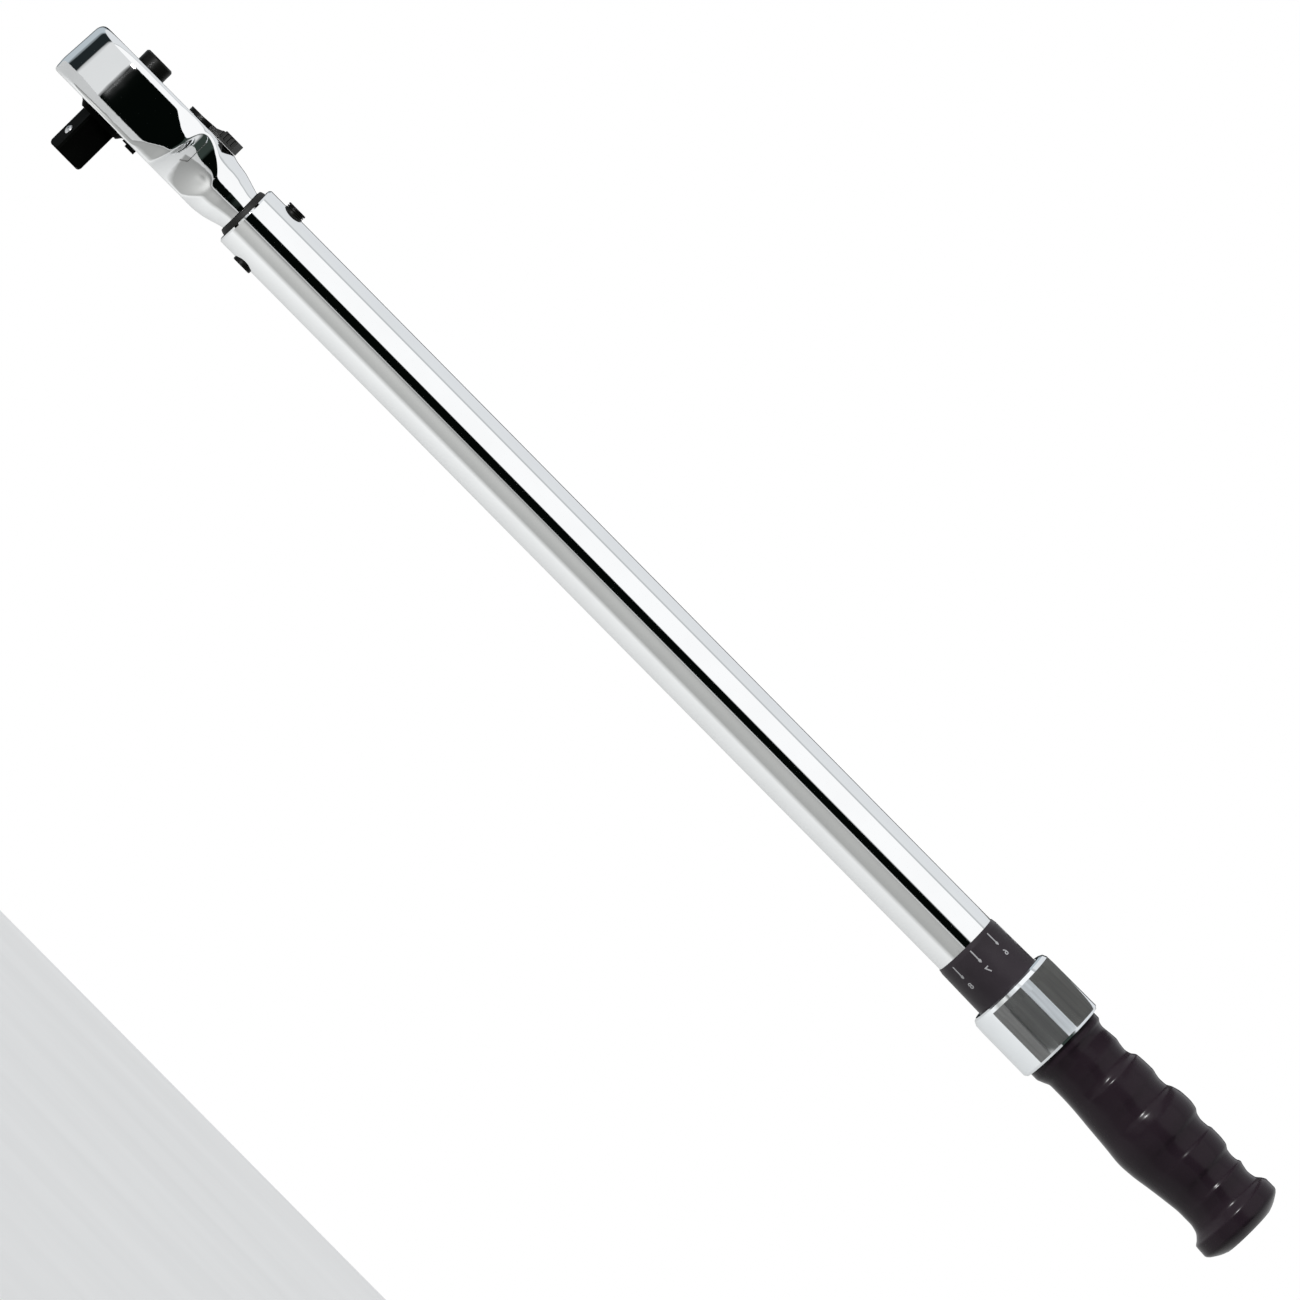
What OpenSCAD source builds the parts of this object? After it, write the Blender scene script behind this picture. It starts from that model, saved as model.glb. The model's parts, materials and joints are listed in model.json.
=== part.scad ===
// Click torque wrench, half inch square drive, fixed ratchet head, micrometer handle.
// Origin: centre of the drive square's end face. +X runs along the tool to the grip, +Z up the drive axis.

/* [Drive] */
// side of the male drive square
square = 12.7; // [12.5:0.05:12.75]
// length of the square below the collar
square_len = 18.2; // [15:0.1:20]
// collar under the head
collar_d = 21.4; // [19:0.1:24]
// height of that collar
collar_h = 2.3; // [1:0.1:4]
// turn of the square about its axis, as the tool lies
square_turn = 17; // [0:1:45]
// ratchet teeth
teeth = 36; // [24:12:48]
// radius over the ratchet teeth
gear_r = 15.5; // [14:0.1:17]

/* [Head] */
// radius of the head about the drive axis
head_r = 26.2; // [24:0.1:28]
// head above the tube axis
head_top = 12.8; // [11:0.1:14]
// head below the tube axis
head_bot = 12.2; // [11:0.1:14]
// angle at which the flat sides narrow to the neck
side_angle = 11; // [6:0.5:15]
// release button diameter
button_d = 12.8; // [11:0.1:14]
// button above the head
button_h = 5.4; // [3:0.1:7]
// reversing lever axis from the drive axis
lever_x = 27; // [25:0.5:30]
// angle between the lever's two positions
lever_swing = 40; // [20:1:50]
// angle between the pawl's two positions
pawl_swing = 11; // [6:0.5:14]

/* [Tube] */
// outside diameter of the tube
tube_d = 26.7; // [25:0.1:30]
// bore of the tube
bore_d = 21.7; // [20:0.1:24]
// tube mouth from the drive axis
tube_x0 = 63; // [60:0.5:66]
// rear end of the tube
tube_x1 = 488; // [470:1:495]
// pivot pin axis from the drive axis
pivot_x = 75.5; // [72:0.5:80]
// pivot pin diameter
pivot_d = 8.2; // [7:0.1:10]
// rear end of the head's tang
tang_x = 155; // [140:1:165]

/* [Mechanism] */
// toggle block along the tool
toggle_l = 14; // [10:0.5:16]
// toggle block across
toggle_w = 8; // [6:0.5:9]
// main spring wire
wire_d = 3.6; // [3:0.1:4.2]
// main spring mean radius
coil_r = 8.5; // [8:0.1:9]
// coils of the main spring
coils = 20; // [14:1:24]
// adjusting screw over the threads
screw_d = 11.8; // [10:0.1:13]
// lead of the adjusting screw
screw_pitch = 2; // [1:0.5:3]

/* [Handle] */
// front edge of the scale sleeve
sleeve_x = 446.4; // [440:0.1:460]
// front face of the lock ring
ring_x0 = 468.8; // [465:0.1:475]
// rear face of the lock ring, and front of the grip
ring_x1 = 497.8; // [490:0.1:505]
// lock ring diameter
ring_d = 37.6; // [34:0.1:40]
// rear end of the grip
grip_x1 = 597.8; // [590:0.1:605]
// divisions round the sleeve
divisions = 9; // [5:1:12]
// turn of the sleeve's first division
first_mark = -8.5; // [-20:0.5:20]

/* [Hidden] */
$fn = 64;
axis_z = square_len + collar_h + head_bot;
collar_z = -head_bot;
square_z = collar_z - collar_h;
bore_r = bore_d / 2;
tube_r = tube_d / 2;
gap = 0.05;
neck_r = 8.8;
seal_bore = 9.95;
pin_head = 2.2;
// ratchet
tooth_h = 1.3;
gear_half = 6.4;
hub_r = 9;
journal_r = collar_d / 2;
pocket_r = gear_r + 0.6;
lever_r = 4;
lever_rest = -lever_swing / 2;
lever_ball_z = -8.6;
pawl_rest = pawl_swing / 2;
pawl_reach = 12.6;
// release mechanism
ball_r = 2.4;
ball_x = -4.85;
ball_z = square_z - 9.7;
pin_r = 2.2;
button_low = 7;
button_pocket = -2;
// toggle joint
seat_depth = 0.8;
toggle_h = 9;
toggle_edge = 1;
seat_floor = tang_x - seat_depth;
toggle_gap = 0.1;
toggle_x0 = seat_floor + toggle_gap;
toggle_x1 = toggle_x0 + toggle_l;
plunger_floor = toggle_x1 + gap;
plunger_x0 = plunger_floor - seat_depth;
plunger_x1 = 200;
ring_grooves = [174, 190];
spring_x0 = plunger_x1 + gap;
spring_x1 = 400;
carrier_x1 = 409;
thrust_r = 4;
thrust_x = carrier_x1 + 2.4;
screw_x0 = thrust_x + 2.4;
nut_x0 = 462;
nut_x1 = 486;
nut_pin_x = 466;
nut_pin_r = 1.5;
// handle
sleeve_bore = tube_r + 0.1;
sleeve_r0 = 13.65;
sleeve_r1 = 14.35;
sleeve_mark_r = 14.0;
shank_r = 15.2;
shank_x1 = ring_x1 + 3.8;
lock_ball_r = 1.4;
lock_ball_x = 480;
lock_ball_at = tube_r + lock_ball_r + 0.03;
ring_cavity = 16.75;
cavity_x = 484;
shoulder_x = 490;
grip_bore = 13.6;
grip_seat = ring_x1 + 12.5;
anchor_x0 = 530;
anchor_x1 = 556;
anchor_pin_x = 543;
anchor_pin_r = 2;
cap_x = grip_x1 - 7.5;

black_oxide = [0.10, 0.10, 0.11];
chrome = [0.80, 0.81, 0.83];
steel = [0.62, 0.63, 0.65];
spring_steel = [0.42, 0.43, 0.45];
bronze = [0.72, 0.55, 0.30];
anodised = [0.07, 0.07, 0.08];
plastic = [0.13, 0.11, 0.13];
white = [0.92, 0.92, 0.90];

// places a shape drawn about the tube axis
module at_axis() {
    translate([0, 0, axis_z]) children();
}

// a solid of revolution about the tube axis, from [x, r] points
module turned(points, angle = 360) {
    rotate([0, 90, 0]) rotate_extrude(angle = angle) polygon([for (p = points) [p[1], p[0]]]);
}

// a cylinder along X
module bar(r, x0, x1) {
    translate([x0, 0, 0]) rotate([0, 90, 0]) cylinder(r = r, h = x1 - x0);
}

// a cylinder along Z
module post(r, z0, z1) {
    translate([0, 0, z0]) cylinder(r = r, h = z1 - z0);
}

// a coil spring about Z as one closed mesh, its end coils closed
module coil(mean_r, wire, z0, z1, turns, steps, sides) {
    r = wire / 2;
    count = turns * steps;
    closed = 1.25 * steps;
    run = (z1 - z0 - wire - 2 * 1.25 * (wire + 0.02)) / (turns - 2.5);
    function lift(i) = z0 + r + (i < closed ? (wire + 0.02) * i / steps
        : i > count - closed ? z1 - z0 - wire - (wire + 0.02) * (count - i) / steps
        : (wire + 0.02) * 1.25 + run * (i - closed) / steps);
    points = [for (i = [0 : count]) for (j = [0 : sides - 1])
        let (a = 360 * i / steps, b = 360 * j / sides, d = mean_r + r * cos(b))
        [d * cos(a), d * sin(a), lift(i) + r * sin(b)]];
    skin = [for (i = [0 : count - 1]) for (j = [0 : sides - 1])
        let (k = (j + 1) % sides, p = i * sides, q = p + sides)
        [p + j, q + j, q + k, p + k]];
    first = [for (j = [0 : sides - 1]) j];
    last = [for (j = [sides - 1 : -1 : 0]) count * sides + j];
    polyhedron(points = points, faces = concat(skin, [first, last]));
}

module ratchet_outline(grow = 0) {
    root = gear_r - tooth_h;
    half_root = 180 / teeth * 0.80;
    half_tip = 180 / teeth * 0.16;
    polygon([for (i = [0 : teeth - 1]) for (s = [[-1, root, half_root], [-1, gear_r, half_tip],
        [1, gear_r, half_tip], [1, root, half_root]])
        let (r = s[1] + grow, a = 360 * i / teeth + s[0] * (s[2] + 57.3 * grow / s[1]))
        [r * cos(a), r * sin(a)]]);
}

// the head's section from its axis to its side, widest low down, rounded at the top
function head_rim(r) = [[r - 1.0, -head_bot], [r - 0.45, -head_bot + 0.4], [r, -6.8],
    [r - 0.9, head_top - 3.0], [r - 1.1, head_top - 2.3], [r - 1.5, head_top - 1.4],
    [r - 2.2, head_top - 0.6], [r - 3.0, head_top - 0.15], [r - 4.0, head_top]];

module head_side() {
    rotate([0, 0, -side_angle]) rotate([90, 0, 90]) linear_extrude(60)
        polygon(concat([[-60, -head_bot]], head_rim(head_r), [[-60, head_top]]));
}

// hollow between the head and the neck, narrowest a little above the tube axis
module scoop() {
    waist_r = 16;
    waist_z = 5.2;
    flare = 70;
    rotate_extrude($fn = 96) polygon(concat([[0, -15]],
        [for (z = [-15 : 2.5 : 15]) [waist_r + pow(z - waist_z, 2) / flare, z]], [[0, 15]]));
}

// solid head and neck, before its pockets
module head_forging() {
    neck_drop = 0.15;
    // the flanks are crowned about the tube axis, and fall from the head to the neck
    crown = [[10, 28], [13, 26.4], [16, 25], [19, 23.7], [22.5, 22.4], [26, 21.5], [29, 20.4],
        [32, 18.9], [35, 17.3], [38, 15.7], [41, 14.3], [44, 13.1], [46.5, 12.3], [48.5, 11.9]];
    rotate_extrude($fn = 128) polygon(concat([[0, -head_bot]], head_rim(head_r), [[0, head_top]]));
    difference() {
        intersection() {
            head_side();
            mirror([0, 1, 0]) head_side();
            translate([0, 0, -neck_drop]) turned(concat([[-1, 0], [-1, 50], [10, 50]], crown,
                [[48.5, 0]]));
        }
        for (s = [-1, 1]) translate([41.5, s * 28.4, 0]) scoop();
    }
    translate([0, 0, -neck_drop]) turned([[38, 0], [38, 11.9], [49, 11.9],
        [52.3, 11.4], [56.1, 10.3], [60, 9.1], [62.5, neck_r], [pivot_x - 7, neck_r],
        [pivot_x - 7, 0]]);
    translate([pivot_x, 0, 0]) sphere(r = bore_r - 0.25, $fn = 96);
    intersection() {
        turned([[pivot_x, 0], [pivot_x, 9.6], [tang_x - 22, 8.2], [tang_x, 6.7], [tang_x, 0]]);
        translate([pivot_x, -5.4, -6]) cube([tang_x - pivot_x, 10.8, 12]);
    }
}

module head_housing() {
    color(chrome) at_axis() difference() {
        head_forging();
        // gear pocket, cover recess, ring groove, hub bore
        post(pocket_r, -6.6, gear_half + 0.2);
        post(17.5, -9.7, -6.5);
        post(18.4, -11.0, -9.6);
        post(17.2, -head_bot - 1, -9.6);
        translate([14, -4, -head_bot - 1]) cube([4.6, 8, head_bot - 9.5]);
        post(hub_r + gap, 0, head_top + 1);
        // pawl pocket
        intersection() {
            post(23, -gear_half - 0.2, gear_half + 0.2);
            translate([9, -15, -10]) cube([26, 30, 20]);
        }
        translate([lever_x, 0, 0]) post(7.2, -gear_half - 0.2, gear_half + 0.2);
        // lever shaft bore with the groove its ball runs in
        translate([lever_x, 0, 0]) post(lever_r + gap, -10.2, head_top + 1);
        translate([lever_x, 0, 0]) post(5.6, 8.2, 9.6);
        translate([lever_x, 0, lever_ball_z]) rotate_extrude()
            translate([lever_r, 0]) circle(r = 1.1, $fn = 32);
        translate([pivot_x, 0, 0]) post(pivot_d / 2 + gap, -20, 20);
        // seat for the toggle block
        translate([seat_floor, -toggle_w / 2 - 0.4, -5.2]) cube([5, toggle_w + 0.8, 10.4]);
    }
}

module cover_plate() {
    color(steel) at_axis() difference() {
        post(17.45, -9.6, -6.7);
        post(journal_r + gap, -12, 0);
    }
}

module retaining_ring() {
    color(black_oxide) at_axis() difference() {
        union() {
            post(18.3, -10.9, -9.7);
            for (s = [-1, 1]) {
                translate([11.2, s * 2 - 1.2, -head_bot - 0.8]) cube([6.2, 2.4, head_bot - 9.6]);
                translate([13.2, s * 2 - 1.2, -head_bot - 1.7]) cube([4.3, 2.4, head_bot - 8.7]);
            }
        }
        post(14.2, -10.95, 0);
        post(journal_r + 0.35, -20, 0);
        translate([10, -0.8, -20]) cube([12, 1.6, 20]);
    }
}

// the drive square, its corners rounded off and its end chamfered
module drive_square() {
    corner_r = 8.45;
    end_z = square_z - square_len;
    intersection() {
        translate([-square / 2, -square / 2, end_z]) cube([square, square, square_len + 1]);
        rotate_extrude() polygon([[0, end_z], [6.6, end_z], [7.5, end_z + 0.35],
            [corner_r, end_z + 1.3], [corner_r, 0], [0, 0]]);
    }
}

module ratchet_gear() {
    color(black_oxide) at_axis() difference() {
        union() {
            translate([0, 0, -gear_half]) linear_extrude(2 * gear_half) ratchet_outline();
            post(hub_r, 0, head_top);
            rotate_extrude() polygon([[0, square_z], [journal_r - 1.9, square_z],
                [journal_r - 1.5, square_z + 0.4], [journal_r - 0.4, square_z + 1.9],
                [journal_r, square_z + 2], [journal_r, 0], [0, 0]]);
            rotate([0, 0, square_turn]) drive_square();
        }
        post(button_d / 2 + gap, button_pocket, head_top + 1);
        post(pin_r + gap, square_z - 16, 0);
        rotate([0, 0, square_turn]) {
            translate([ball_x - 1.1, 0, ball_z]) rotate([0, 90, 0]) cylinder(r = ball_r + gap, h = 6);
            translate([-10, 0, ball_z]) rotate([0, 90, 0]) cylinder(r = 2.2, h = 8);
        }
    }
}

module detent_ball() {
    color(steel) at_axis() rotate([0, 0, square_turn]) translate([ball_x, 0, ball_z])
        sphere(r = ball_r, $fn = 48);
}

module release_button() {
    top = head_top + button_h;
    r = button_d / 2;
    color(black_oxide) at_axis() difference() {
        rotate_extrude() polygon([[0, button_low], [r, button_low], [r, top - 0.7],
            [r - 0.7, top], [r - 1.8, top], [r - 2.3, top - 0.35], [0, top - 0.35]]);
        post(pin_r, button_low - 1, button_low + 5);
    }
}

module release_pin() {
    color(steel) at_axis() rotate_extrude() polygon([[0, ball_z - 3.2], [pin_r - 0.3, ball_z - 3.2],
        [pin_r, ball_z - 2.8], [pin_r, ball_z - 0.2], [1.4, ball_z + 2], [1.4, ball_z + 5],
        [pin_r, ball_z + 5.6], [pin_r, button_low + 5], [0, button_low + 5]]);
}

module release_spring() {
    color(spring_steel) at_axis()
        coil(4.4, 0.8, button_pocket + 0.02, button_low - 0.02, 5, 20, 6);
}

module pawl() {
    // the gear's outline is swept through every pawl position, so the teeth leave freely
    color(steel) at_axis() translate([lever_x, 0, 0]) rotate([0, 0, pawl_rest]) difference() {
        union() {
            translate([0, 0, -gear_half + 0.1]) linear_extrude(2 * gear_half - 0.2)
                difference() {
                    intersection() {
                        translate([-lever_x, 0]) circle(r = 21.5);
                        polygon([[2, 4.5], [-8, 9.6], [-14.5, 11], [-14.5, -11], [-8, -9.6],
                            [2, -4.5]]);
                    }
                    for (i = [-12 : 12])
                        rotate([0, 0, i / 12 * pawl_rest]) translate([-lever_x, 0])
                            ratchet_outline(0.12);
                }
            post(6.4, -gear_half + 0.1, gear_half - 0.1);
        }
        post(lever_r + gap, -20, 20);
    }
}

// a thin plate with a grooved thumb tab, on a shaft that goes down to the pawl
module reverse_lever() {
    z = head_top + 0.1;
    tab_x = 9.3;
    tab_end = 17.3;
    tab_h = 4.4;
    groove = 0.8;
    groove_pitch = 1.9;
    grooves = [for (i = [0 : 3]) tab_end - 1.2 - groove_pitch * i];
    color(black_oxide) at_axis() translate([lever_x, 0, 0]) rotate([0, 0, lever_rest])
        difference() {
            union() {
                post(6.6, z, z + 1.9);
                post(lever_r, -10, z + 0.5);
                rotate([90, 0, 0]) translate([0, 0, -4.2]) linear_extrude(8.4)
                    polygon([[0, z], [tab_end, z], [tab_end, z + tab_h], [tab_x + 1.6, z + tab_h],
                        [tab_x, z + tab_h - 1.2], [tab_x - 2, z + 2.4], [0, z + 1.9]]);
            }
            for (x = grooves) translate([x - groove / 2, -6, z + tab_h - 0.6]) cube([groove, 12, 6]);
            for (x = grooves) for (s = [-1, 1])
                translate([x - groove / 2, s * 4.2 - 0.6, z + 1.2]) cube([groove, 1.2, 6]);
            translate([-2.6, 0, lever_ball_z]) rotate([0, 90, 0]) cylinder(r = 1.05, h = 8.6);
        }
}

module lever_seal() {
    color(black_oxide) at_axis() translate([lever_x, 0, 8.9]) rotate_extrude()
        translate([lever_r + 0.8, 0]) circle(r = 0.65, $fn = 24);
}

module lever_ball() {
    color(steel) at_axis() translate([lever_x, 0, lever_ball_z]) rotate([0, 0, lever_rest])
        translate([lever_r - 0.05, 0, 0]) sphere(r = 1, $fn = 32);
}

module lever_spring() {
    color(spring_steel) at_axis() translate([lever_x, 0, lever_ball_z])
        rotate([0, 0, lever_rest]) rotate([0, 90, 0]) coil(0.75, 0.35, -2.5, 2.8, 7, 12, 5);
}

module mouth_seal() {
    // fills the gap round the neck, and bulges from the tube's mouth
    r = bore_r - 0.02;
    color(black_oxide) at_axis() turned([[tube_x0 - 2.2, seal_bore], [tube_x0 - 2.1, seal_bore + 0.2],
        [tube_x0 - 1.5, r - 0.35], [tube_x0 - 0.7, r - 0.1], [tube_x0, r],
        [tube_x0 + 1.4, r], [tube_x0 + 1.4, seal_bore]]);
}

module pivot_pin() {
    r = pivot_d / 2;
    top = tube_r + pin_head;
    color(black_oxide) at_axis() translate([pivot_x, 0, 0]) rotate_extrude()
        polygon([[0, -tube_r - 1.05], [r - 0.3, -tube_r - 1.05], [r, -tube_r - 0.75],
            [r, top - 1.9], [r - 0.7, top - 1.7], [r - 0.7, top - 0.9], [r, top - 0.7],
            [r, top - 0.2], [r - 0.2, top], [0, top]]);
}

module pivot_clip() {
    r = pivot_d / 2;
    top = tube_r + pin_head;
    color(black_oxide) at_axis() translate([pivot_x, 0, 0]) difference() {
        post(r - 0.15, top - 1.6, top - 1.0);
        post(r - 0.68, 0, 30);
        translate([-1, 0, 0]) cube([2, 10, 30]);
    }
}

module tube() {
    color(chrome) at_axis() difference() {
        turned([[tube_x0, bore_r + 0.4], [tube_x0 + 0.4, bore_r], [tube_x1, bore_r],
            [tube_x1, tube_r - 0.5], [tube_x1 - 0.5, tube_r], [tube_x0 + 0.7, tube_r],
            [tube_x0, tube_r - 0.7]]);
        translate([pivot_x, 0, 0]) post(pivot_d / 2 + 0.02, -20, 20);
        for (s = [-1, 1]) translate([nut_pin_x, s * 10, 0]) rotate([90, 0, 0])
            cylinder(r = nut_pin_r, h = 8, center = true);
    }
}

module tube_scale() {
    // raised ticks, one a turn of the handle, on the far side of the tube
    color(black_oxide) at_axis() for (i = [0 : 11]) {
        x = sleeve_x - 2 - i * screw_pitch;
        span = i % 5 == 0 ? 26 : 14;
        rotate([90 - span / 2, 0, 0]) turned([[x, tube_r], [x + 0.35, tube_r],
            [x + 0.35, tube_r + 0.06], [x, tube_r + 0.06]], span);
    }
}

module toggle_block() {
    l = toggle_l;
    w = toggle_w;
    e = toggle_edge;
    color(steel) at_axis() translate([toggle_x0, -w / 2, -toggle_h / 2]) {
        translate([e, 0, 0]) cube([l - 2 * e, w, toggle_h]);
        translate([0, e, 0]) cube([l, w - 2 * e, toggle_h]);
        for (x = [e, l - e]) for (y = [e, w - e]) translate([x, y, 0]) cylinder(r = e, h = toggle_h);
    }
}

module plunger() {
    r = bore_r - 0.15;
    color(steel) at_axis() difference() {
        turned(concat([[plunger_x0, 0], [plunger_x0, r - 1], [plunger_x0 + 1, r]],
            [for (x = ring_grooves) for (p = [[0, 0], [0, 1], [2, 1], [2, 0]]) [x + p[0], r - p[1]]],
            [[plunger_x1, r], [plunger_x1, 6.3], [plunger_x1 + 6, 6.3], [plunger_x1 + 7, 5.3],
            [plunger_x1 + 7, 0]]));
        translate([plunger_floor - 5, -toggle_w / 2 - 0.4, -toggle_h / 2 - 0.2])
            cube([5, toggle_w + 0.8, toggle_h + 0.4]);
        bar(2, plunger_x0 + 2, plunger_x1 + 8);
    }
}

module plunger_rings() {
    r = bore_r - 0.06;
    color(bronze) at_axis() for (x = ring_grooves)
        turned([[x + 0.05, bore_r - 1.1], [x + 1.95, bore_r - 1.1], [x + 1.95, r], [x + 0.05, r]]);
}

module main_spring() {
    color(spring_steel) at_axis() rotate([0, 90, 0])
        coil(coil_r, wire_d, spring_x0, spring_x1 - gap, coils, 18, 7);
}

module spring_seat() {
    r = bore_r - 0.12;
    color(steel) at_axis() difference() {
        turned([[spring_x1 - 6, 0], [spring_x1 - 6, 5.3], [spring_x1 - 5, 6.3], [spring_x1, 6.3],
            [spring_x1, r], [carrier_x1 - 0.8, r], [carrier_x1, r - 0.8], [carrier_x1, 0]]);
        translate([thrust_x, 0, 0]) sphere(r = thrust_r + 0.02, $fn = 48);
    }
}

module thrust_ball() {
    color(steel) at_axis() translate([thrust_x, 0, 0]) sphere(r = thrust_r, $fn = 48);
}

module adjusting_screw() {
    r = screw_d / 2;
    color(steel) at_axis() difference() {
        union() {
            turned([[screw_x0, 0], [screw_x0, r - 1], [screw_x0 + 1, r - 0.6], [426, r - 0.6],
                [426.6, r], [516, r], [518, r - 0.8], [anchor_x0, r - 0.8], [anchor_x0, 0]]);
            bar(r - 0.8, anchor_x0, anchor_x1 + 4);
        }
        translate([thrust_x, 0, 0]) sphere(r = thrust_r + 0.03, $fn = 48);
        translate([anchor_pin_x, 0, 0]) rotate([90, 0, 0])
            cylinder(r = anchor_pin_r, h = 30, center = true);
    }
}

module load_nut() {
    color(bronze) at_axis() difference() {
        turned([[nut_x0, screw_d / 2 + gap], [nut_x1, screw_d / 2 + gap],
            [nut_x1, bore_r - 0.5], [nut_x1 - 0.5, bore_r - gap], [nut_x0 + 0.5, bore_r - gap],
            [nut_x0, bore_r - 0.5]]);
        for (s = [-1, 1]) translate([nut_pin_x, s * 10, 0]) rotate([90, 0, 0])
            cylinder(r = nut_pin_r, h = 8, center = true);
    }
}

module nut_pins() {
    color(steel) at_axis() for (s = [-1, 1]) translate([nut_pin_x, s * 10.1, 0])
        rotate([90, 0, 0]) cylinder(r = nut_pin_r, h = 6, center = true);
}

module scale_sleeve() {
    color(anodised) at_axis() difference() {
        turned([[sleeve_x, sleeve_bore], [sleeve_x, sleeve_r0], [sleeve_x + 2, sleeve_mark_r],
            [ring_x0, sleeve_r1], [shoulder_x, sleeve_r1], [shoulder_x, 16.2],
            [shoulder_x + 4, 16.2], [shoulder_x + 4, shank_r],
            [shank_x1, shank_r], [shank_x1, sleeve_bore]]);
        for (a = [0 : 120 : 240]) rotate([a, 0, 0]) translate([lock_ball_x, 0, 12])
            cylinder(r = lock_ball_r + gap, h = 4);
    }
}

module sleeve_marks() {
    // one line a division round the sleeve's edge
    slope = (sleeve_r1 - sleeve_mark_r) / (ring_x0 - sleeve_x - 2);
    thick = 0.05;
    clear = 0.006;
    // each stroke: where it starts and ends from the edge, and how far it spans round the sleeve
    color(white) at_axis() for (i = [0 : divisions - 1]) for (stroke = [[2, 8, 2.1], [6.6, 7.6, 4.2]])
        rotate([360 / divisions * i + first_mark - stroke[2] / 2, 0, 0]) {
            x0 = stroke[0];
            x1 = stroke[1];
            r0 = sleeve_mark_r + slope * (x0 - 2) + clear;
            r1 = sleeve_mark_r + slope * (x1 - 2) + clear;
            turned([[sleeve_x + x0, r0], [sleeve_x + x1, r1], [sleeve_x + x1, r1 + thick],
                [sleeve_x + x0, r0 + thick]], stroke[2]);
        }
}

module lock_ring() {
    r = ring_d / 2;
    ball_top = lock_ball_at + lock_ball_r;
    color(chrome) at_axis() turned([[ring_x0, r - 2.2], [ring_x0 + 0.6, r - 1], [ring_x0 + 2.2, r - 0.25],
        [ring_x0 + 6, r - 0.1], [ring_x1 - 1, r], [ring_x1, r - 0.8], [ring_x1, ring_cavity],
        [cavity_x, ring_cavity], [cavity_x, ball_top - 0.2], [481.5, ball_top + 0.03],
        [474.4, ball_top + 0.5],
        [474, sleeve_r1 + 0.15], [ring_x0 + 0.4, sleeve_r1 + 0.15], [ring_x0, sleeve_r1 + 0.5]]);
}

module lock_balls() {
    color(steel) at_axis() for (a = [0 : 120 : 240])
        rotate([a, 0, 0]) translate([lock_ball_x, 0, lock_ball_at])
            sphere(r = lock_ball_r, $fn = 32);
}

module lock_spring() {
    color(spring_steel) at_axis() rotate([0, 90, 0])
        coil(15.5, 1.1, cavity_x + gap, shoulder_x - gap, 3, 36, 6);
}

// a turned band of the grip, set off its axis by lift
module band(lift, points) {
    translate([0, 0, lift]) turned(points);
}

module grip() {
    g = ring_x1;
    color(plastic) at_axis() difference() {
        union() {
            turned([[g, 0], [g, 15.8], [g + 0.6, 16.3], [g + 3.4, 16.3], [g + 4.6, 15.1], [g + 6.5, 14.7],
                [g + 20, 14.7], [g + 34, 15.4], [g + 48, 15.9], [g + 58, 15.3], [g + 68, 14.4],
                [g + 76, 13.8], [g + 84, 13.9], [g + 87, 15.2], [g + 89.5, 18.0], [g + 95, 18.4],
                [g + 96.8, 16.9], [g + 98.4, 14], [g + 99.2, 11], [grip_x1, 5], [grip_x1, 0]]);
            // finger pads stand out on the upper side
            band(1.2, [[g + 21, 0], [g + 21, 14.2], [g + 23.5, 16], [g + 31.5, 16.1], [g + 34, 14.6],
                [g + 34, 0]]);
            band(1.0, [[g + 34, 0], [g + 34, 15.2], [g + 40, 15.4], [g + 41.5, 16.8], [g + 44, 17.6],
                [g + 50, 17.7], [g + 53.5, 16.8], [g + 55, 15.8], [g + 62, 15.6], [g + 62, 0]]);
            band(1.5, [[g + 62, 0], [g + 62, 14.9], [g + 63.5, 15.8], [g + 70, 15.7], [g + 72, 14.2],
                [g + 72, 0]]);
            band(1.4, [[g + 72, 0], [g + 72, 14.2], [g + 77.5, 14.1], [g + 78.5, 14.9], [g + 79.8, 14.8],
                [g + 81, 14.2], [g + 86, 14.3], [g + 88, 15.4], [g + 88, 0]]);
        }
        bar(shank_r + 0.02, g - 1, g + 4);
        bar(grip_bore, g - 1, grip_seat);
        bar(screw_d / 2 + 0.6, grip_seat - 1, cap_x + 1);
        bar(9.02, anchor_x0 - 0.02, cap_x + 1);
        translate([anchor_pin_x, 0, 0]) rotate([90, 0, 0])
            cylinder(r = anchor_pin_r, h = 22, center = true);
        bar(11.02, cap_x - 2, grip_x1 + 2);
    }
}

module screw_anchor() {
    color(bronze) at_axis() difference() {
        bar(9, anchor_x0, anchor_x1);
        bar(screw_d / 2 - 0.8 + 0.01, anchor_x0 - 1, anchor_x1 + 1);
        translate([anchor_pin_x, 0, 0]) rotate([90, 0, 0])
            cylinder(r = anchor_pin_r, h = 30, center = true);
    }
}

module anchor_pin() {
    color(steel) at_axis() translate([anchor_pin_x, 0, 0]) rotate([90, 0, 0])
        cylinder(r = anchor_pin_r - 0.02, h = 21.6, center = true);
}

module end_cap() {
    x = cap_x - 2;
    color(plastic) at_axis() turned([[x, 0], [x, 11], [cap_x + 6.0, 11], [cap_x + 7.1, 7], [grip_x1, 3],
        [grip_x1, 0]]);
}

head_housing();
cover_plate();
retaining_ring();
ratchet_gear();
detent_ball();
release_button();
release_pin();
release_spring();
pawl();
reverse_lever();
lever_seal();
lever_ball();
lever_spring();
mouth_seal();
pivot_pin();
pivot_clip();
tube();
tube_scale();
toggle_block();
plunger();
plunger_rings();
main_spring();
spring_seat();
thrust_ball();
adjusting_screw();
load_nut();
nut_pins();
scale_sleeve();
sleeve_marks();
lock_ring();
lock_balls();
lock_spring();
grip();
screw_anchor();
anchor_pin();
end_cap();
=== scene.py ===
import json
import math

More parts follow.
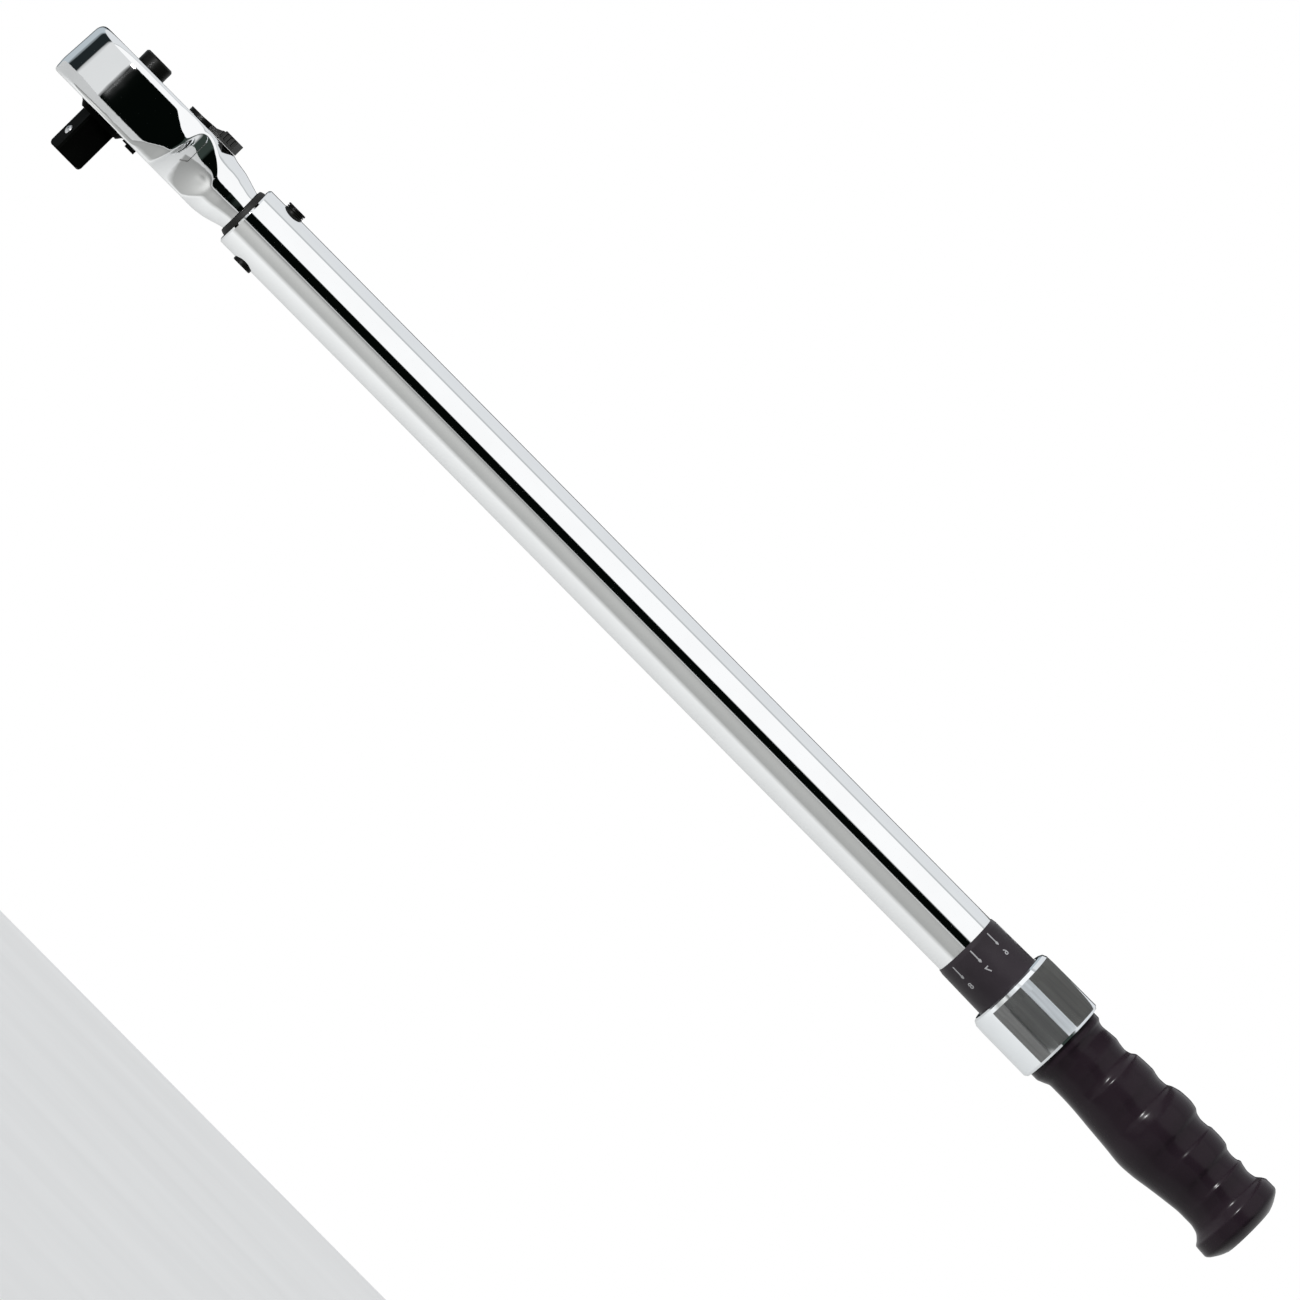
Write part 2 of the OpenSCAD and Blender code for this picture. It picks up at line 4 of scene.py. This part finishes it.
import bpy
from mathutils import Matrix, Vector


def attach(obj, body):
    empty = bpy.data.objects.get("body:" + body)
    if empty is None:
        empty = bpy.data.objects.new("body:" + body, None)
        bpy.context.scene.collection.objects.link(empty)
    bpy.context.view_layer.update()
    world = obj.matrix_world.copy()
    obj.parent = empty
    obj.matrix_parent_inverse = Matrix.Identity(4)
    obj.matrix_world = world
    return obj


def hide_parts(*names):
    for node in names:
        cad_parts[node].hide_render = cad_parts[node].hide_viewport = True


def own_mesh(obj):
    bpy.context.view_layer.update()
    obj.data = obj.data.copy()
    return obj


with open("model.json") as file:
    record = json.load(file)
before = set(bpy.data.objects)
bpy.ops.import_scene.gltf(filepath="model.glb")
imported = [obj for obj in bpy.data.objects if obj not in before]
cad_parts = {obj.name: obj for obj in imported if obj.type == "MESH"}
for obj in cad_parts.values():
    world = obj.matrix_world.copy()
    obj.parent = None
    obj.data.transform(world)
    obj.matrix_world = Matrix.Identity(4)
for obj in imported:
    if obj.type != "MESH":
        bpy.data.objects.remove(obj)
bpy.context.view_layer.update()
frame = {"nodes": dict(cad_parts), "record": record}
nodes = frame["nodes"]

# sizes and places on the tool are in mm, in the frame of the CAD bodies
MM = 0.001
AXIS_Z = 32.7          # height of the tube axis
GRIP_X = 497.8         # front face of the grip
SLEEVE_X = 446.4       # front edge of the scale sleeve
SHARP_EDGE = math.radians(24)   # shading breaks at edges sharper than this
BEVEL_EDGE = math.radians(30)   # and edges sharper than this are rounded


# ---------------------------------------------------------------- materials
def new_material(name, **sockets):
    mat = bpy.data.materials.new(name)
    mat.use_nodes = True
    shader = mat.node_tree.nodes["Principled BSDF"]
    for key, value in sockets.items():
        shader.inputs[key.replace("_", " ")].default_value = value
    return mat, mat.node_tree, shader


def add_object(name, data):
    obj = bpy.data.objects.new(name, data)
    bpy.context.scene.collection.objects.link(obj)
    return obj


def object_coords(tree, scale=(1, 1, 1)):
    where = tree.nodes.new("ShaderNodeTexCoord")
    mapping = tree.nodes.new("ShaderNodeMapping")
    mapping.inputs["Scale"].default_value = scale
    tree.links.new(where.outputs["Object"], mapping.inputs["Vector"])
    return mapping.outputs["Vector"]


def noise(tree, vector, scale, detail=3.0):
    tex = tree.nodes.new("ShaderNodeTexNoise")
    tex.inputs["Scale"].default_value = scale
    tex.inputs["Detail"].default_value = detail
    tree.links.new(vector, tex.inputs["Vector"])
    return tex.outputs["Fac"]


def ramp(tree, factor, stops):
    """A colour that changes with the factor, from [at, colour] stops."""
    node = tree.nodes.new("ShaderNodeValToRGB")
    while len(node.color_ramp.elements) < len(stops):
        node.color_ramp.elements.new(0.5)
    for element, (at, colour) in zip(node.color_ramp.elements, stops):
        element.position = at
        element.color = (*colour, 1.0)
    tree.links.new(factor, node.inputs["Fac"])
    return node.outputs["Color"]


def spread(tree, factor, low, high, start=0.3, end=0.7):
    """Low to high while the factor goes from start to end."""
    node = tree.nodes.new("ShaderNodeMapRange")
    node.inputs["From Min"].default_value = start
    node.inputs["From Max"].default_value = end
    node.inputs["To Min"].default_value = low
    node.inputs["To Max"].default_value = high
    tree.links.new(factor, node.inputs["Value"])
    return node.outputs["Result"]


def mix(tree, factor, a, b):
    """The colour a where the factor is 0 and b where it is 1."""
    node = tree.nodes.new("ShaderNodeMix")
    node.data_type = "RGBA"
    tree.links.new(factor, node.inputs["Factor"])
    for socket, value in ((node.inputs[6], a), (node.inputs[7], b)):
        if isinstance(value, tuple):
            socket.default_value = (*value, 1.0)
        else:
            tree.links.new(value, socket)
    return node.outputs[2]


def bump(tree, shader, height, distance, strength):
    node = tree.nodes.new("ShaderNodeBump")
    node.inputs["Distance"].default_value = distance
    node.inputs["Strength"].default_value = strength
    tree.links.new(height, node.inputs["Height"])
    tree.links.new(node.outputs["Normal"], shader.inputs["Normal"])


def metal(name, colour, rough, grain=(1, 1, 1), grain_scale=400, depth=0.00002, strength=0.1,
          vary=0.05, mottling=0.06):
    """Bare or plated metal: fine grain in its roughness and relief, broad and faint mottling."""
    mat, tree, shader = new_material(name, Metallic=1.0, Roughness=rough)
    fine = noise(tree, object_coords(tree, grain), grain_scale)
    broad = noise(tree, object_coords(tree), 60, 2)
    tree.links.new(spread(tree, fine, max(rough - vary, 0.01), rough + vary),
                   shader.inputs["Roughness"])
    dark = tuple(c * (1 - mottling) for c in colour)
    tree.links.new(ramp(tree, broad, [(0.35, dark), (0.65, colour)]), shader.inputs["Base Color"])
    bump(tree, shader, fine, depth, strength)
    return mat


def coated(name, colour, rough, grain_scale=900, depth=0.00003, strength=0.25, vary=0.06,
           light=1.5, specular=0.5):
    """A dark finish, plastic or paint, with broad patches up to `light` times its colour."""
    mat, tree, shader = new_material(name, Metallic=0.0, Roughness=rough)
    shader.inputs["Specular IOR Level"].default_value = specular
    fine = noise(tree, object_coords(tree), grain_scale)
    broad = noise(tree, object_coords(tree), 45, 3)
    tree.links.new(spread(tree, broad, rough - vary, rough + vary), shader.inputs["Roughness"])
    tree.links.new(ramp(tree, broad, [(0.3, colour), (0.7, tuple(c * light for c in colour))]),
                   shader.inputs["Base Color"])
    bump(tree, shader, fine, depth, strength)
    return mat


MATERIALS = {
    "chrome": metal("chrome", (0.90, 0.91, 0.92), 0.04, grain_scale=60, depth=0.00001,
                    strength=0.012, vary=0.012, mottling=0.02),
    "black_oxide": coated("black_oxide", (0.0011, 0.0012, 0.0010), 0.36, light=2.0, strength=0.4,
                          specular=0.10),
    "steel": metal("steel", (0.60, 0.61, 0.63), 0.22, grain=(1, 1, 6)),
    "spring_steel": metal("spring_steel", (0.34, 0.35, 0.37), 0.3),
    "bronze": metal("bronze", (0.66, 0.47, 0.25), 0.28),
    "anodised": coated("anodised", (0.0200, 0.0165, 0.0200), 0.34, grain_scale=1500, light=1.4,
                       strength=0.15, specular=0.14),
    "plastic": coated("plastic", (0.0130, 0.0085, 0.0120), 0.21, grain_scale=700, light=1.2,
                      strength=0.08, vary=0.03, specular=0.12),
    "paint": coated("paint", (0.26, 0.26, 0.27), 0.5, light=1.1),
    "black_fill": coated("black_fill", (0.012, 0.012, 0.012), 0.5),
    "seal": coated("seal", (0.004, 0.004, 0.004), 0.6, specular=0.2),
}

slot_of = {s["node"]: s["material_slot"] for s in frame["record"]["subparts"]}
for name, obj in nodes.items():
    obj.data.materials.clear()
    obj.data.materials.append(MATERIALS[slot_of[name]])
# the drive is darker than the button and lever, with almost no sheen; the ring's chrome is a little
# bluer
nodes["ratchet_gear"].data.materials[0] = coated(
    "darkest_oxide", (0.0006, 0.0007, 0.0006), 0.40, light=2.2, strength=0.4, specular=0.005)
nodes["lock_ring"].data.materials[0] = metal(
    "ring_chrome", (0.88, 0.905, 0.93), 0.05, grain_scale=60, depth=0.00001, strength=0.012,
    vary=0.012, mottling=0.02)


# ---------------------------------------------------------------- edges on the CAD pieces
MERGE = 2e-6           # in metres: corners closer than this are joined


def smooth_group():
    """Joins the CAD faces along their borders and shades across all but the sharp edges."""
    group = bpy.data.node_groups.new("smooth_surface", "GeometryNodeTree")
    for way in ("INPUT", "OUTPUT"):
        group.interface.new_socket("Geometry", in_out=way, socket_type="NodeSocketGeometry")
    start = group.nodes.new("NodeGroupInput")
    end = group.nodes.new("NodeGroupOutput")
    plain = group.nodes.new("GeometryNodeRemoveAttribute")
    plain.inputs["Name"].default_value = "custom_normal"
    joined = group.nodes.new("GeometryNodeMergeByDistance")
    joined.inputs["Distance"].default_value = MERGE
    faces = group.nodes.new("GeometryNodeSetShadeSmooth")
    faces.domain = "FACE"
    edges = group.nodes.new("GeometryNodeSetShadeSmooth")
    edges.domain = "EDGE"
    angle = group.nodes.new("GeometryNodeInputMeshEdgeAngle")
    less = group.nodes.new("ShaderNodeMath")
    less.operation = "LESS_THAN"
    less.inputs[1].default_value = SHARP_EDGE
    link = group.links.new
    link(start.outputs[0], plain.inputs["Geometry"])
    link(plain.outputs["Geometry"], joined.inputs["Geometry"])
    link(joined.outputs["Geometry"], faces.inputs["Geometry"])
    link(faces.outputs["Geometry"], edges.inputs["Geometry"])
    link(angle.outputs["Unsigned Angle"], less.inputs[0])
    link(less.outputs[0], edges.inputs["Shade Smooth"])
    link(edges.outputs["Geometry"], end.inputs[0])
    return group


SMOOTH = smooth_group()


def soften(node, width):
    """Rounds a piece's sharp edges over a width in mm."""
    obj = nodes[node]
    obj.modifiers.new("smooth_surface", "NODES").node_group = SMOOTH
    edge = obj.modifiers.new("edge", "BEVEL")
    edge.width = width * MM
    edge.segments = 2
    edge.limit_method = "ANGLE"
    edge.angle_limit = BEVEL_EDGE
    edge.use_clamp_overlap = False
    even = obj.modifiers.new("even", "WEIGHTED_NORMAL")
    even.keep_sharp = True
    even.weight = 80


def polish(node, grain, rounds):
    """Remakes a forging's skin with an even mesh and evens it out, as polishing does."""
    obj = nodes[node]
    obj.modifiers.new("smooth_surface", "NODES").node_group = SMOOTH
    skin = obj.modifiers.new("skin", "REMESH")
    skin.mode = "VOXEL"
    skin.voxel_size = grain * MM
    skin.use_smooth_shade = True
    even = obj.modifiers.new("even", "SMOOTH")
    even.factor = 0.5
    even.iterations = rounds


polish("head_housing", grain=0.35, rounds=34)
for name, width in (("ratchet_gear", 0.12), ("reverse_lever", 0.16),
                    ("release_button", 0.15), ("pivot_pin", 0.1), ("retaining_ring", 0.08)):
    soften(name, width)


# ---------------------------------------------------------------- grip
def smooth_curve(points):
    """A monotone cubic through [x, r] points."""
    xs = [p[0] for p in points]
    ys = [p[1] for p in points]
    n = len(xs)
    slope = [(ys[i + 1] - ys[i]) / (xs[i + 1] - xs[i]) for i in range(n - 1)]
    tangent = [slope[0]] + [0.0] * (n - 2) + [slope[-1]]
    for i in range(1, n - 1):
        a, b = slope[i - 1], slope[i]
        tangent[i] = 0.0 if a * b <= 0 else 2 * a * b / (a + b)

    def at(x):
        if x <= xs[0]:
            return ys[0]
        if x >= xs[-1]:
            return ys[-1]
        i = max(k for k in range(n - 1) if xs[k] <= x)
        h = xs[i + 1] - xs[i]
        t = (x - xs[i]) / h
        return ((2 * t ** 3 - 3 * t ** 2 + 1) * ys[i] + (t ** 3 - 2 * t ** 2 + t) * h * tangent[i]
                + (-2 * t ** 3 + 3 * t ** 2) * ys[i + 1] + (t ** 3 - t ** 2) * h * tangent[i + 1])
    return at


def mesh_object(name, verts, faces, slot):
    """A smooth piece from corners in mm, with the look of a material slot."""
    mesh = bpy.data.meshes.new(name)
    mesh.from_pydata([tuple(c * MM for c in v) for v in verts], [], faces)
    mesh.validate()
    for p in mesh.polygons:
        p.use_smooth = True
    obj = add_object(name, mesh)
    mesh.materials.append(MATERIALS[slot])
    return obj


# the grip's radius along its top and along its underside, against the distance from its front
TOP = smooth_curve([(0, 15.9), (0.5, 16.3), (3.0, 16.3), (4.6, 15.3), (6.5, 14.9), (9.5, 15.2),
                    (13.5, 15.5), (15.5, 15.1), (18.5, 14.8), (21.0, 15.4), (23.0, 16.7),
                    (27.0, 17.1), (31.0, 17.2), (33.4, 16.7), (35.5, 16.4), (38.5, 16.6),
                    (41.0, 17.8), (45.0, 18.8), (49.0, 19.0), (52.5, 18.5), (54.8, 17.2),
                    (57.5, 16.7), (60.5, 16.9), (62.4, 17.5), (66.0, 17.5), (70.0, 17.1),
                    (72.4, 15.8), (75.0, 15.5), (77.2, 15.7), (78.8, 16.4), (80.4, 16.0),
                    (83.4, 15.5), (86.6, 16.0), (89.2, 17.9), (90.6, 18.5), (94.8, 18.5)])
BOTTOM = smooth_curve([(0, 16.3), (0.6, 16.6), (3.2, 16.6), (5.5, 15.8), (9.0, 14.5), (14.0, 14.5),
                       (20.0, 14.7), (30.0, 15.5), (40.0, 16.3), (48.0, 17.0), (54.0, 16.6),
                       (62.0, 15.4), (70.0, 14.3), (77.0, 13.6), (82.0, 13.6), (86.0, 14.4),
                       (88.6, 16.4), (90.0, 18.0), (94.8, 18.3)])
# the butt's rounded end, as [distance, share of the full radius]
DOME = [(95.5, 0.985), (96.4, 0.94), (97.4, 0.86), (98.3, 0.78), (99.0, 0.70), (99.4, 0.64)]
# the moulding's inside, as [distance, radius]: its mouth, and the opening and seat of the end cap
MOUTH = [(4.0, 15.22), (0.1, 15.24)]
CAP_OPENING = [(99.6, 11.35), (99.2, 11.05), (90.5, 11.02), (90.5, 9.4)]
GRIP_AROUND = 128
GRIP_BODY = 94.8       # from the front to where the dome starts
GRIP_STEP = 0.4
PADS_FADE = (math.radians(60), math.radians(148))   # from the top, where the pads fade out


def grip_radius(x, phi):
    """phi is 0 at the top of the grip and pi underneath."""
    pads_start, pads_end = PADS_FADE
    t = max(0.0, min(1.0, (pads_end - phi) / (pads_end - pads_start)))
    share = t * t * (3 - 2 * t)
    return BOTTOM(x) + (TOP(x) - BOTTOM(x)) * share


def make_grip():
    """Rings of corners from the mouth, over the outside and into the cap's opening, then skinned."""
    def plain_rings(outline):
        return [[(at, r)] * GRIP_AROUND for at, r in outline]

    body = []
    for i in range(round(GRIP_BODY / GRIP_STEP) + 1):
        x = i * GRIP_STEP
        body.append([(x, grip_radius(x, abs(math.pi - 2 * math.pi * k / GRIP_AROUND)))
                     for k in range(GRIP_AROUND)])
    dome = [[(at, r * scale) for _, r in body[-1]] for at, scale in DOME]
    rings = plain_rings(MOUTH) + body + dome + plain_rings(CAP_OPENING)
    verts = []
    for ring in rings:
        for k, (at, r) in enumerate(ring):
            a = 2 * math.pi * k / GRIP_AROUND
            verts.append((GRIP_X + at, r * math.sin(a), AXIS_Z - r * math.cos(a)))
    faces = []
    for i in range(len(rings) - 1):
        for k in range(GRIP_AROUND):
            j = (k + 1) % GRIP_AROUND
            a, b = i * GRIP_AROUND, (i + 1) * GRIP_AROUND
            faces.append((a + k, a + j, b + j, b + k))
    return mesh_object("grip_moulding", verts, faces, "plastic")


grip = make_grip()
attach(grip, "handle")
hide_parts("grip")


# ---------------------------------------------------------------- springs
def coil(node, body):
    """Shows a copy of the spring's CAD mesh on the given body, in place of the CAD piece, which is
    hidden.
    """
    obj = add_object(node + "_coil", nodes[node].data.copy())
    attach(obj, body)
    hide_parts(node)
    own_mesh(obj)


coil("main_spring", "tube")
coil("release_spring", "gear")
coil("lock_spring", "handle")


# ---------------------------------------------------------------- digits on the sleeve
DIGITS = 9
DIGIT_SIZE = 3.7
DIGIT_LIFT = 0.03      # off the cone
DIGIT_BOLD = 0.06
DIGIT_X = 13.0         # foot of the digits, behind the sleeve's front edge
PITCH = 40             # degrees from one digit to the next
FIRST = -8.5           # degrees from the sleeve's underside to the first digit
CONE_X, CONE_R = 2.0, 14.0   # where the sleeve's cone starts, and its radius there
CONE_SLOPE = 0.35 / 20.4


def sleeve_radius(x):
    return CONE_R + (x - SLEEVE_X - CONE_X) * CONE_SLOPE


def make_digit(index):
    """Lays a digit on the sleeve's cone, reading round the sleeve."""
    curve = bpy.data.curves.new("digit", "FONT")
    curve.body = str(index)
    curve.size = DIGIT_SIZE
    curve.align_x = "CENTER"
    curve.offset = DIGIT_BOLD
    curve.resolution_u = 3
    temp = add_object("digit", curve)
    bpy.context.view_layer.update()
    flat = bpy.data.meshes.new_from_object(temp)
    bpy.data.objects.remove(temp)
    centre = math.radians(FIRST + PITCH * index)
    verts = []
    for v in flat.vertices:
        x = SLEEVE_X + DIGIT_X - v.co.y
        r = sleeve_radius(x) + DIGIT_LIFT
        a = centre + v.co.x / r
        verts.append((x, r * math.sin(a), AXIS_Z - r * math.cos(a)))
    faces = [tuple(p.vertices) for p in flat.polygons]
    obj = mesh_object(f"sleeve_digit_{index}", verts, faces, "paint")
    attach(obj, "handle")


for i in range(DIGITS):
    make_digit(i)


# ---------------------------------------------------------------- surroundings
def make_world():
    """A bright studio whose horizon band is dark in places. The camera sees plain white."""
    world = bpy.data.worlds.new("studio")
    bpy.context.scene.world = world
    world.use_nodes = True
    tree = world.node_tree
    tree.nodes.clear()
    link = tree.links.new

    def math_node(kind, a, b=None):
        node = tree.nodes.new("ShaderNodeMath")
        node.operation = kind
        for socket, value in zip(node.inputs, (a, b)):
            if isinstance(value, (int, float)):
                socket.default_value = value
            elif value is not None:
                link(value, socket)
        return node.outputs[0]

    def share_of_turn(across, ahead):
        """The angle from -180 to 180 degrees, as 0 to 1."""
        return math_node("ADD", math_node("DIVIDE", math_node("ARCTAN2", across, ahead), 2 * math.pi),
                         0.5)

    def at(degrees):
        return degrees / 360 + 0.5

    where = tree.nodes.new("ShaderNodeTexCoord")
    axes = tree.nodes.new("ShaderNodeSeparateXYZ")
    link(where.outputs["Generated"], axes.inputs[0])
    x, y, z = axes.outputs
    ahead = math_node("MULTIPLY", y, -1)
    # round from the front towards the head end
    turn = share_of_turn(math_node("MULTIPLY", x, -1), ahead)
    black, dark, green = (0.001, 0.002, 0.0015), (0.015, 0.02, 0.022), (0.035, 0.048, 0.042)
    pale, tip = (0.78, 0.79, 0.79), (0.5, 0.56, 0.6)
    horizon = ramp(tree, turn, [
        (at(-178), dark), (at(-160), pale), (at(-96), pale), (at(-86), green), (at(-42), green),
        (at(-34), black), (at(31), black), (at(35), pale), (at(92), pale), (at(98), dark),
        (at(126), dark), (at(134), tip), (at(160), tip), (at(172), dark)])
    # up from the front and over the top
    over = share_of_turn(z, ahead)
    low, white, back_sky = (0.50, 0.51, 0.49), (1.06, 1.06, 1.06), (0.78, 0.80, 0.82)
    sky = ramp(tree, over, [
        (at(-180), back_sky), (at(-120), low), (at(-20), low), (at(-12), (0.42, 0.43, 0.42)),
        (at(12), (0.9, 0.9, 0.9)), (at(22), white), (at(83), white), (at(85), (0.52, 0.54, 0.55)),
        (at(90), (0.60, 0.62, 0.63)), (at(92), (0.80, 0.82, 0.83)), (at(125), back_sky),
        (at(180), back_sky)])
    # the horizon band lies between about 8 degrees below the level and 21 above it
    height = math_node("ADD", math_node("MULTIPLY", z, 0.5), 0.5)
    off, on = (0, 0, 0), (1, 1, 1)
    band = ramp(tree, height, [
        (0.0, off), (0.425, off), (0.432, on), (0.675, on), (0.69, off), (1.0, off)])
    surround = mix(tree, band, sky, horizon)
    path = tree.nodes.new("ShaderNodeLightPath")
    colour = mix(tree, path.outputs["Is Camera Ray"], surround, (1.0, 1.0, 1.0))
    back = tree.nodes.new("ShaderNodeBackground")
    link(colour, back.inputs["Color"])
    out = tree.nodes.new("ShaderNodeOutputWorld")
    link(back.outputs[0], out.inputs["Surface"])


make_world()


def make_key_light():
    """One soft lamp, in front and out past the head end, aimed at the handle."""
    place, target = Vector((-0.85, -1.6, 0.48)), Vector((0.5, 0, 0.03))
    light = bpy.data.lights.new("key", "AREA")
    light.shape = "DISK"
    light.size = 0.30
    light.energy = 44
    obj = add_object("key", light)
    obj.location = place
    obj.rotation_euler = (target - place).to_track_quat("-Z", "Y").to_euler()


make_key_light()


# the floor's level, its front edge, past which the chrome sees the horizon, and its other edges,
# in metres
FLOOR_Z = -0.55
FLOOR_FRONT = -3.6
FLOOR_REACH = 15.0


def sheet(name, corners, rough):
    """A four-cornered sheet that belongs to the studio, with a material of its own."""
    mesh = bpy.data.meshes.new(name)
    mesh.from_pydata(corners, [], [(0, 1, 2, 3)])
    obj = add_object(name, mesh)
    mat, tree, shader = new_material(name, Roughness=rough)
    mesh.materials.append(mat)
    return obj, tree, shader


def make_floor():
    """Pale paper. The chrome sees it greyer than the camera does, most of all in front: painted
    shade, seen only in reflections.
    """
    _, tree, shader = sheet("floor", [
        (-FLOOR_REACH, FLOOR_FRONT, FLOOR_Z), (FLOOR_REACH, FLOOR_FRONT, FLOOR_Z),
        (FLOOR_REACH, FLOOR_REACH, FLOOR_Z), (-FLOOR_REACH, FLOOR_REACH, FLOOR_Z)], rough=0.8)
    where = object_coords(tree)
    paper = ramp(tree, noise(tree, where, 3),
                 [(0.3, (0.84, 0.84, 0.84)), (0.7, (0.88, 0.88, 0.88))])
    # what the chrome sees is painted shade: grey in front of the tool from 0.2-0.4 m out to about 2.8
    # m, pale nearer the tool and farther out
    painted_shade_grey, pale = (0.30, 0.30, 0.29), (0.72, 0.72, 0.71)
    place = tree.nodes.new("ShaderNodeSeparateXYZ")
    tree.links.new(where, place.inputs[0])
    reach = tree.nodes.new("ShaderNodeVectorMath")
    reach.operation = "LENGTH"
    tree.links.new(where, reach.inputs[0])
    painted_front_shade = ramp(tree, spread(tree, place.outputs["Y"], 0, 1, -0.4, -0.2), [(0.0, painted_shade_grey), (1.0, pale)])
    far = spread(tree, reach.outputs["Value"], 0, 1, 2.7, 2.95)
    seen = tree.nodes.new("ShaderNodeLightPath")
    tree.links.new(mix(tree, seen.outputs["Is Camera Ray"], mix(tree, far, painted_front_shade, pale), paper),
                   shader.inputs["Base Color"])


make_floor()


# Three dark flags and a pale card stand round the lock ring, which shows them as bands. Each is a
# sheet between two [y, z] edges, in metres and measured from the tube axis, over the ring's width.
FELT = (0.127, 0.124, 0.118)
CARD = (0.75, 0.775, 0.80)
FLAG_START = 0.466
FLAG_END = 0.513
OVER_END = 0.510       # the upper flag is a little narrower
OVER_BACK = (0.7, 0.16)
OVER_FRONT = (-0.145, 0.16)
CARD_FOOT = (-0.25, 0.094)
FLAG_FOOT = (-0.25, -0.16)
UNDER_BACK = (-0.065, -0.16)


def flag(name, first, first_end, second, second_end, tone):
    """A card from one edge to another, which reach from FLAG_START to their own ends."""
    def corner(x, edge):
        return x, edge[0], AXIS_Z * MM + edge[1]

    obj, tree, shader = sheet(name, [
        corner(FLAG_START, first), corner(first_end, first),
        corner(second_end, second), corner(FLAG_START, second)], rough=0.9)
    cloth = noise(tree, object_coords(tree), 30)
    light = tuple(1.3 * c for c in tone)
    tree.links.new(ramp(tree, cloth, [(0.3, tone), (0.7, light)]), shader.inputs["Base Color"])
    obj.visible_camera = False


flag("flag_over", OVER_FRONT, OVER_END, OVER_BACK, OVER_END, FELT)
flag("card_front", CARD_FOOT, FLAG_END, OVER_FRONT, OVER_END, CARD)
flag("flag_front", FLAG_FOOT, FLAG_END, CARD_FOOT, FLAG_END, FELT)
flag("flag_under", UNDER_BACK, FLAG_END, FLAG_FOOT, FLAG_END, FELT)


# ---------------------------------------------------------------- camera
AZIMUTH = math.radians(-3.0)   # off square-on, towards the head end
ROLL = math.radians(45.35)
TARGET = Vector((0.285, 0.0, 0.0262))
DISTANCE = 10.79
LENS = 800             # long, so that the tool shows almost no perspective
SENSOR = 36


def make_camera():
    camera = bpy.data.cameras.new("camera")
    camera.lens = LENS
    camera.sensor_width = SENSOR
    obj = add_object("camera", camera)
    back = Vector((math.sin(AZIMUTH), -math.cos(AZIMUTH), 0.0))
    right = Vector((math.cos(AZIMUTH), math.sin(AZIMUTH), 0.0))
    up = Vector((0, 0, 1))
    frame_right = right * math.cos(ROLL) + up * math.sin(ROLL)
    frame_up = up * math.cos(ROLL) - right * math.sin(ROLL)
    obj.matrix_world = Matrix.Translation(TARGET + back * DISTANCE) @ Matrix(
        (frame_right, frame_up, back)).transposed().to_4x4()
    bpy.context.scene.camera = obj


make_camera()
bpy.context.scene.view_settings.view_transform = "Standard"
